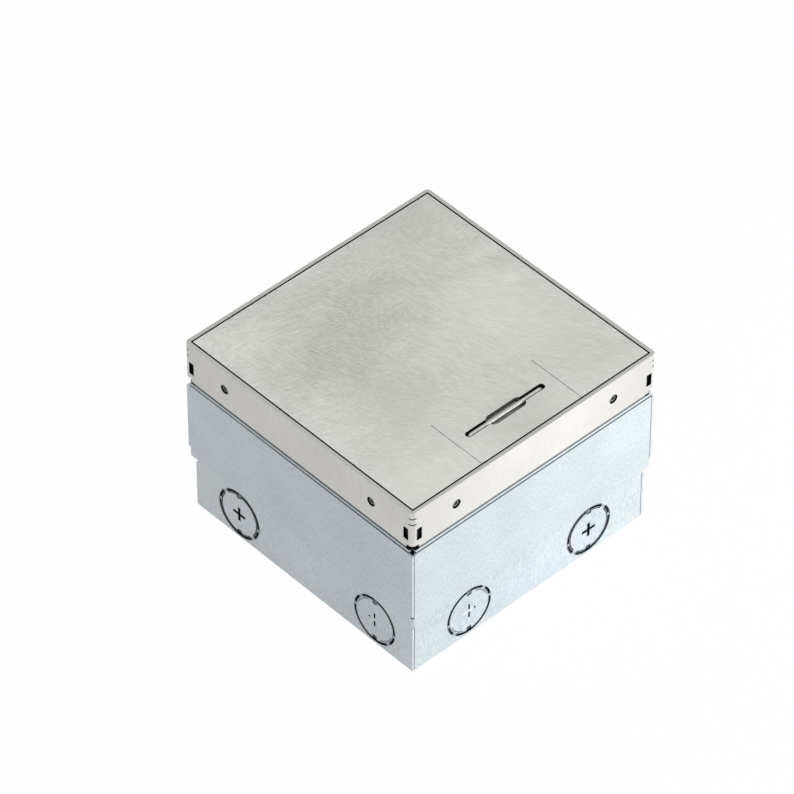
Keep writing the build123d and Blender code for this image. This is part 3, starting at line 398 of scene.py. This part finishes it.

# Box: painted shadow and reflection: its top bend is painted dark where it lies in the frame's shadow,
# and with a second line where it mirrors the frame's dark underside. Its cut corners are painted darkest,
# as painted shade
BEND_SPAN = (67.1, 70)
SHADOW_HEIGHTS = (74.55, 75.7)
MIRROR_HEIGHTS = (73.05, 73.9)
DULL_HEIGHTS = (72.9, 75.7)
BEND_CORNER_SPAN = (65.2, 70)
BEND_CORNER_HEIGHTS = (74.7, 75.7)
ZINC_METALLIC = 0.45
ZINC_SPECULAR = 0.5
galvanised = drawn_metal("galvanised_steel_sheet", "F0F8FC", "C3CDD3", 0.45, (1, 1, 0.22),
                         ZINC_METALLIC, 0.5, streak=0.8)
outer, inner, height = plan(galvanised)
on_bend = between(galvanised, outer, *BEND_SPAN)
paint(galvanised, every(galvanised, on_bend, between(galvanised, height, *SHADOW_HEIGHTS)), "858B90")
paint(galvanised, every(galvanised, on_bend, between(galvanised, height, *MIRROR_HEIGHTS)), "646C72")
bend_corner_shade = every(galvanised, between(galvanised, inner, *BEND_CORNER_SPAN),
                    between(galvanised, height, *BEND_CORNER_HEIGHTS))
paint(galvanised, bend_corner_shade, "101112")

# Painted light: the zinc on the left wall is painted a little lighter towards the rear and below the step
wall_x, wall_y, wall_z = axes(galvanised)
side_x = maths(galvanised, "ABSOLUTE", wall_x)
side_y = maths(galvanised, "ABSOLUTE", wall_y)
LEFT_WALL_SPAN = (-70, -67)
BELOW_STEP_HEIGHTS = (0.5, 28)
BRIGHTER_FROM = -45
BRIGHTEST_AT = 65
PAINTED_LIGHT_STRENGTH = 0.14
left_wall = every(galvanised, between(galvanised, wall_x, *LEFT_WALL_SPAN), upright(galvanised))
rear_painted_light = remap(galvanised, wall_y, BRIGHTER_FROM * MM, BRIGHTEST_AT * MM, 0.0, PAINTED_LIGHT_STRENGTH)
paint(galvanised, every(galvanised, left_wall, rear_painted_light), "FFFFFF")
painted_light_below_step = every(galvanised, left_wall, between(galvanised, wall_z, *BELOW_STEP_HEIGHTS), PAINTED_LIGHT_STRENGTH)
paint(galvanised, painted_light_below_step, "FFFFFF")

# Where the middles of the knock-outs lie along the front and the left wall, and how high
KNOCKOUT_HEIGHT = 14.6
NEAR_FRONT = -35.0
FAR_FRONT = 35.0
NEAR_LEFT = -44.5
FAR_LEFT = 40.4
LOWER_WALL_SPAN = (66, 68.5)

# Painted shade round each knock-out: rings by their inner and outer radius, and the strokes of the cross
NEAR_RING_SHADE = (11, 12.72)
FAR_RING_SHADE = (10.6, 12.9)
SECOND_RING = (10.3, 10.8)
BRIDGE_RING = (11.2, 12.6)
BRIDGE_HALF_WIDTH = 1.9
SECOND_RING_HALF_WIDTH = 6.5
STROKE_HALF_WIDTH = 0.85
STROKE_HALF_LENGTH = 3.9
NEAR_RING_SHADE_STRENGTH = 0.8
SECOND_RING_STRENGTH = 0.85


def knockout_place(along, middle_mm):
    """How far sideways, how far up and how far in all from the middle of one knock-out."""
    sideways = maths(galvanised, "SUBTRACT", along, middle_mm * MM)
    upwards = maths(galvanised, "SUBTRACT", wall_z, KNOCKOUT_HEIGHT * MM)
    away = vector_maths(galvanised, "LENGTH", combine(galvanised, sideways, upwards))
    return sideways, upwards, away


def on_lower_wall(across):
    """1 on the walls that hold the knock-outs, at the given distance across the box."""
    return between(galvanised, across, *LOWER_WALL_SPAN)


def bridge_strip(sideways, upwards, half_width):
    """1 on the diagonal strip across a knock-out whose middle line runs through its two bridges."""
    return maths(galvanised, "COMPARE", sideways, upwards, half_width * MM)


# Near pair: the ring's edges get a painted shade, and a second fine ring of painted shade lies near the
# bridges
for along, across, middle in ((wall_x, side_y, NEAR_FRONT), (wall_y, side_x, NEAR_LEFT)):
    sideways, upwards, away = knockout_place(along, middle)
    on_wall = on_lower_wall(across)
    beside = outside(galvanised, bridge_strip(sideways, upwards, BRIDGE_HALF_WIDTH))
    ring_shade = every(galvanised, between(galvanised, away, *NEAR_RING_SHADE), beside, on_wall,
                   NEAR_RING_SHADE_STRENGTH)
    paint(galvanised, ring_shade, "3A4248")
    near_bridges = bridge_strip(sideways, upwards, SECOND_RING_HALF_WIDTH)
    second_ring_shade = every(galvanised, between(galvanised, away, *SECOND_RING), near_bridges, on_wall,
                        SECOND_RING_STRENGTH)
    paint(galvanised, second_ring_shade, "5C656C")

# Far pair: a wider and darker ring of painted shade, and painted shade along the strokes of the cross
for along, across, middle in ((wall_x, side_y, FAR_FRONT), (wall_y, side_x, FAR_LEFT)):
    sideways, upwards, away = knockout_place(along, middle)
    on_wall = on_lower_wall(across)
    beside = outside(galvanised, bridge_strip(sideways, upwards, BRIDGE_HALF_WIDTH))
    ring_shade = every(galvanised, between(galvanised, away, *FAR_RING_SHADE), beside, on_wall)
    paint(galvanised, ring_shade, "22282D")
    for short_way, long_way in ((sideways, upwards), (upwards, sideways)):
        stroke = every(galvanised, between(galvanised, short_way, -STROKE_HALF_WIDTH, STROKE_HALF_WIDTH),
                       between(galvanised, long_way, -STROKE_HALF_LENGTH, STROKE_HALF_LENGTH), on_wall)
        paint(galvanised, stroke, "4A5359")

# The bridges that still hold each knock-out are painted greyer than the wall, as painted shade
for along, across, middle in ((side_x, side_y, FAR_FRONT), (wall_y, side_x, NEAR_LEFT),
                              (wall_y, side_x, FAR_LEFT)):
    away = knockout_place(along, middle)[2]
    bridge = every(galvanised, between(galvanised, away, *BRIDGE_RING), on_lower_wall(across))
    paint(galvanised, bridge, "B4BDC3")

# Painted shade: the sheet's cut faces round the knock-outs are painted dark. They and the top bend have
# no gloss
CUT_FACE_SPAN = (66.7, 67.62)
CUT_FACE_HEIGHTS = (2, 28.3)
CUT_FACE_HALF_LENGTH = 62
cut_face_shade = every(galvanised, between(galvanised, outer, *CUT_FACE_SPAN),
                 between(galvanised, height, *CUT_FACE_HEIGHTS),
                 between(galvanised, inner, 0, CUT_FACE_HALF_LENGTH))
paint(galvanised, cut_face_shade, "121518")
dull = every(galvanised, on_bend, between(galvanised, height, *DULL_HEIGHTS))
shine = outside(galvanised, maths(galvanised, "MAXIMUM", dull, cut_face_shade))
set_shader(galvanised, Metallic=maths(galvanised, "MULTIPLY", shine, ZINC_METALLIC),
           Specular_IOR_Level=maths(galvanised, "MULTIPLY", shine, ZINC_SPECULAR))

plated_steel = drawn_metal("zinc_plated_steel", "C9CBCC", "A9ACAE", 0.6, (1, 1, 1), 0.8, 0.4)
clip_steel = drawn_metal("blued_spring_steel", "2E3032", "1C1D1E", 0.6, (1, 1, 1), 0.7, 0.4)
screw_steel = drawn_metal("machined_screw_steel", "A6A8A6", "7F8180", 0.5, (1, 1, 1), 0.9, 0.35)
brass = drawn_metal("machined_brass", "D9B25E", "B88F41", 0.6, (1, 1, 1), 1.0, 0.32)

# Painted reflection: the bar is painted grey and dark where it mirrors the dark slot along its upper and
# lower sides, and this steel is painted darker between heights of 80 and 96 mm, as painted shade
polished_steel = drawn_metal("polished_stainless_bar", "CFCFCA", "B9B9B4", 1.5, (1, 1, 1), 0.8, 0.45)
GREY_MIRROR_SPAN = (-51.35, -50.9)
DARK_MIRROR_SPAN = (-50.9, -50.3)
BAR_SIDE_HEIGHTS = (80, 96)
bar_y, bar_z = axes(polished_steel)[1:]
paint(polished_steel, between(polished_steel, bar_y, *GREY_MIRROR_SPAN), "A4A49E")
paint(polished_steel, between(polished_steel, bar_y, *DARK_MIRROR_SPAN), "4C4C48")
paint(polished_steel, between(polished_steel, bar_z, *BAR_SIDE_HEIGHTS), "8A8A84")

# Painted light and shade: the finger dish is a brighter sheet than the lid's steel, standing in for
# light, and is painted dark in its front half, which faces away from the light
pressed_steel = drawn_metal("pressed_sheet_painted_light", "F0F0EA", "DEDED8", 0.9, (0.2, 1, 1), 0.2, 0.5)
DISH_FRONT_SPAN = (-57, -51.9)
front_half_shade = between(pressed_steel, axes(pressed_steel)[1], *DISH_FRONT_SPAN)
paint(pressed_steel, front_half_shade, "50504C")

# Torn zinc surface where the knock-outs are half sheared, darker in the lower notches
torn_zinc = drawn_metal("torn_zinc_surface", "8B9399", "777F85", 0.5, (1, 1, 1), 0.3, 0.6)
LOWER_TAB_HEIGHTS = (2, 6.2)
lower_tab = between(torn_zinc, axes(torn_zinc)[2], *LOWER_TAB_HEIGHTS)
paint(torn_zinc, lower_tab, "4A5156")
# Near-white zinc of the strips along two crosses: a painted highlight
highlight_zinc = drawn_metal("zinc_painted_highlight", "FAFCFD", "E6ECF0", 0.5, (1, 1, 1), 0.2, 0.35)

# Blackened screws with a bright ring round the socket
black_screw = drawn_metal("blackened_screw_steel", "1C1C1C", "121212", 0.5, (1, 1, 1), 0.8, 0.4)
SCREW_AXIS = (45.1 * MM, 87.1 * MM, 0)
SOCKET_RING = (0.6, 1.45)
inner, height = plan(black_screw)[1:]
from_axis = vector_maths(black_screw, "DISTANCE", combine(black_screw, inner, height), SCREW_AXIS)
paint(black_screw, between(black_screw, from_axis, *SOCKET_RING), "9A9A96")

finishes = {
    "galvanised_steel": galvanised,
    "lid_steel": lid_steel,
    "frame_steel": frame_steel,
    "inner_steel": plated_steel,
    "screw_steel": screw_steel,
    "polished_steel": polished_steel,
    "clip_steel": clip_steel,
    "brass": brass,
    "white_plastic": moulded_plastic("moulded_white_polycarbonate", "ECEDEA", 0.38),
    "grey_plastic": moulded_plastic("moulded_grey_polyamide", "8B9094", 0.45),
    "black_plastic": moulded_plastic("moulded_black_polyamide", "1C1D1F", 0.4),
    "seal_rubber": moulded_plastic("foamed_black_rubber", "1B1B1C", 0.75),
}
for part in frame["record"]["subparts"]:
    node = frame["nodes"][part["node"]]
    node.data.materials.clear()
    node.data.materials.append(finishes[part["material_slot"]])
frame["nodes"]["frame_screws"].data.materials[0] = black_screw


# New pieces
def apply_placement():
    """Writes the active piece's place, turn and size into its mesh."""
    bpy.ops.object.transform_apply(location=True, rotation=True, scale=True)


def select_only(piece):
    """Selects one piece and makes it the active one."""
    bpy.ops.object.select_all(action="DESELECT")
    piece.select_set(True)
    bpy.context.view_layer.objects.active = piece


def finish_piece(piece, name, material, body):
    """Names a new piece, gives it its material and lets it ride on its body."""
    apply_placement()
    piece.name = name
    piece.data.name = name
    piece.data.materials.clear()
    piece.data.materials.append(material)
    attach(piece, body)


# Finger dish under the handle: the lower half of a tube, pressed from thin sheet and open at its ends
plate_low, plate_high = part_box("flap_plate")
dish_radius = 3.7 * MM
dish_length = 25 * MM
dish_y = slot_y - 0.3 * MM
dish_axis_z = plate_high[2] - 0.5 * MM
dish_top_z = plate_low[2] - 0.02 * MM
bpy.ops.object.select_all(action="DESELECT")
bpy.ops.mesh.primitive_cylinder_add(vertices=40, radius=dish_radius, depth=dish_length,
                                    end_fill_type="NOTHING", location=(0, dish_y, dish_axis_z),
                                    rotation=(0, pi / 2, 0))
dish = bpy.context.object
apply_placement()
bpy.ops.object.mode_set(mode="EDIT")
bpy.ops.mesh.select_all(action="SELECT")
bpy.ops.mesh.bisect(plane_co=(0, 0, dish_top_z), plane_no=(0, 0, 1), clear_outer=True)
bpy.ops.mesh.select_all(action="SELECT")
bpy.ops.mesh.normals_make_consistent(inside=True)
bpy.ops.object.mode_set(mode="OBJECT")
sheet = dish.modifiers.new("sheet", "SOLIDIFY")
sheet.thickness = 0.25 * MM
sheet.offset = -1
bpy.ops.object.modifier_apply(modifier="sheet")
finish_piece(dish, "finger_dish", pressed_steel, "flap")


def pressed_block(length_mm, thickness_mm, height_mm):
    """A small block of sheet with rounded edges that lies along X, to be copied into place."""
    bpy.ops.object.select_all(action="DESELECT")
    bpy.ops.mesh.primitive_cube_add(size=1, location=(0, 0, 0))
    block = bpy.context.object
    block.scale = (length_mm * MM, thickness_mm * MM, height_mm * MM)
    apply_placement()
    rounding = block.modifiers.new("rounding", "BEVEL")
    rounding.width = 0.12 * MM
    rounding.segments = 2
    bpy.ops.object.modifier_apply(modifier="rounding")
    return block


def set_in_wall(pattern, name, material, side, along, depth, height):
    """A copy of a block in one wall of the box, at a place along the wall, a depth and a height."""
    select_only(pattern)
    bpy.ops.object.duplicate(linked=False)
    copy = bpy.context.object
    if side in ("front", "rear"):
        copy.location = (along, depth, height)
    else:
        copy.location = (depth, along, height)
        copy.rotation_euler = (0, 0, pi / 2)
    finish_piece(copy, name, material, "box")


# Half-sheared tabs in the notches of each knock-out. Two crosses have a pressed strip along them in
# near-white zinc, a painted highlight
tab_pattern = pressed_block(2.7, 0.5, 2.1)
highlight_lip_pattern = pressed_block(6.4, 0.5, 1.3)
ring_radius = 12.5 * MM
tab_offset = 10.4 * MM
tab_depth = 0.55 * MM
lip_shift = 0.6 * MM
lip_depth = 0.15 * MM
for side in ("front", "rear", "left", "right"):
    low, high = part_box("knockouts_" + side)
    axis = 0 if side in ("front", "rear") else 1
    wall_face = {"front": low[1], "rear": high[1], "left": low[0], "right": high[0]}[side]
    inward = 1 if wall_face < 0 else -1
    middle_z = (low[2] + high[2]) / 2
    for index, along in enumerate((low[axis] + ring_radius, high[axis] - ring_radius)):
        label = f"{side}_{index + 1}"
        tab_face = wall_face + inward * tab_depth
        for level, offset in (("upper", tab_offset), ("lower", -tab_offset)):
            set_in_wall(tab_pattern, f"knockout_tab_{level}_{label}", torn_zinc, side, along, tab_face,
                        middle_z + offset)
        if label in ("front_1", "left_1"):
            set_in_wall(highlight_lip_pattern, f"knockout_highlight_lip_{label}", highlight_zinc, side, along - lip_shift,
                        wall_face + inward * lip_depth, middle_z)
for pattern in (tab_pattern, highlight_lip_pattern):
    select_only(pattern)
    bpy.ops.object.delete()

# Coil spring round the flap's hinge pin, in place of the plain sleeve
spring_low, spring_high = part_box("flap_spring")
spring_y = (spring_low[1] + spring_high[1]) / 2
spring_z = (spring_low[2] + spring_high[2]) / 2
wire_radius = 0.3 * MM
coil_radius = 1.42 * MM
turns = 10
bpy.ops.object.select_all(action="DESELECT")
bpy.ops.mesh.primitive_circle_add(vertices=10, radius=wire_radius, fill_type="NOTHING",
                                  location=(spring_low[0] + 2 * wire_radius, spring_y, spring_z))
spring = bpy.context.object
bpy.ops.object.mode_set(mode="EDIT")
bpy.ops.mesh.select_all(action="SELECT")
bpy.ops.transform.translate(value=(0, coil_radius, 0))
bpy.ops.object.mode_set(mode="OBJECT")
coil = spring.modifiers.new("coil", "SCREW")
coil.axis = "X"
coil.steps = 20
coil.render_steps = 20
coil.iterations = turns
coil.screw_offset = (spring_high[0] - spring_low[0] - 4 * wire_radius) / turns
bpy.ops.object.modifier_apply(modifier="coil")
bpy.ops.object.mode_set(mode="EDIT")
bpy.ops.mesh.select_all(action="DESELECT")
bpy.ops.mesh.select_mode(type="EDGE")
bpy.ops.mesh.select_non_manifold()
bpy.ops.mesh.fill_holes(sides=0)
bpy.ops.mesh.select_all(action="SELECT")
bpy.ops.mesh.normals_make_consistent(inside=False)
bpy.ops.object.mode_set(mode="OBJECT")
finish_piece(spring, "flap_spring_coil", polished_steel, "flap")
bpy.ops.object.shade_smooth()
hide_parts("flap_spring")


# Eight spring contacts on the rear wall of each data jack, each a small block drawn out twice to bend it
jacks_low, jacks_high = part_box("data_jacks")
cavity_rear = (jacks_low[1] + jacks_high[1]) / 2 + 4.2 * MM
contact_y = cavity_rear - 0.2 * MM
contact_z = jacks_high[2] - 3 * MM
contact_pitch = 1.02 * MM
contact_count = 8
for side in ("left", "right"):
    lid_low, lid_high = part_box("dust_flap_" + side)
    first_x = (lid_low[0] + lid_high[0]) / 2 - (contact_count - 1) / 2 * contact_pitch
    bpy.ops.object.select_all(action="DESELECT")
    bpy.ops.mesh.primitive_cube_add(size=1, location=(first_x, contact_y, contact_z))
    contacts = bpy.context.object
    contacts.scale = (0.5 * MM, 0.3 * MM, 2 * MM)
    apply_placement()
    for step in ((0, -2.4 * MM, -3 * MM), (0, 1.2 * MM, -2 * MM)):
        bpy.ops.object.mode_set(mode="EDIT")
        bpy.ops.mesh.select_mode(type="FACE")
        bpy.ops.mesh.select_all(action="DESELECT")
        bpy.ops.object.mode_set(mode="OBJECT")
        lowest = min(corner.co.z for corner in contacts.data.vertices)
        for face in contacts.data.polygons:
            face.select = face.center.z < lowest + 0.02 * MM
        bpy.ops.object.mode_set(mode="EDIT")
        bpy.ops.mesh.extrude_region_move(TRANSFORM_OT_translate={"value": step})
        bpy.ops.object.mode_set(mode="OBJECT")
    row = contacts.modifiers.new("row", "ARRAY")
    row.count = contact_count
    row.use_relative_offset = False
    row.use_constant_offset = True
    row.constant_offset_displace = (contact_pitch, 0, 0)
    bpy.ops.object.modifier_apply(modifier="row")
    finish_piece(contacts, "jack_contacts_" + side, brass, "box")


# Floor: it takes light and shadow, but the camera sees it nearly white
WHITE = (1, 1, 1, 1)
bpy.ops.mesh.primitive_plane_add(size=12, location=(0, 0, 0))
floor = bpy.context.object
floor.name = "floor"
white_floor = start_material("white_studio_floor")
set_shader(white_floor, Base_Color=colour("F2F2F2"), Roughness=0.9)
glow = add_node(white_floor, "ShaderNodeEmission", {"Color": WHITE, "Strength": 1.0})
rays = add_node(white_floor, "ShaderNodeLightPath")
share = maths(white_floor, "MULTIPLY", rays.outputs["Is Camera Ray"], 0.98)
floor_shader = find_node(white_floor, "BSDF_PRINCIPLED")
lit = add_node(white_floor, "ShaderNodeMixShader",
               {0: share, 1: floor_shader.outputs[0], 2: glow.outputs[0]})
floor_output = find_node(white_floor, "OUTPUT_MATERIAL")
white_floor.node_tree.links.new(lit.outputs[0], floor_output.inputs["Surface"])
floor.data.materials.append(white_floor)
floor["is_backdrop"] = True

# Backdrop: white to the camera and in mirror images, dimmer as a light
world = bpy.data.worlds.new("studio")
scene.world = world
world.use_nodes = True
world.node_tree.nodes.clear()
sky_rays = add_node(world, "ShaderNodeLightPath")
seen = maths(world, "MAXIMUM", sky_rays.outputs["Is Camera Ray"], sky_rays.outputs["Is Glossy Ray"])
dim_sky = add_node(world, "ShaderNodeBackground", {"Color": WHITE, "Strength": 0.48})
white_sky = add_node(world, "ShaderNodeBackground", {"Color": WHITE, "Strength": 1.0})
sky = add_node(world, "ShaderNodeMixShader", {0: seen, 1: dim_sky.outputs[0], 2: white_sky.outputs[0]})
add_node(world, "ShaderNodeOutputWorld", {"Surface": sky.outputs[0]})


def soft_box(name, location, size, power):
    """A square area lamp that points at the middle of the object."""
    middle = Vector((0, 0, 0.06))
    lamp = bpy.data.lights.new(name, "AREA")
    lamp.size = size
    lamp.energy = power
    lamp_object = bpy.data.objects.new(name, lamp)
    scene.collection.objects.link(lamp_object)
    lamp_object.location = location
    lamp_object.rotation_euler = (Vector(location) - middle).to_track_quat("Z", "Y").to_euler()


soft_box("key_light", (0.5, -0.47, 0.2), 0.4, 3.4)
soft_box("top_light", (-0.3, -0.5, 1.7), 1.0, 5)

low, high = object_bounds()
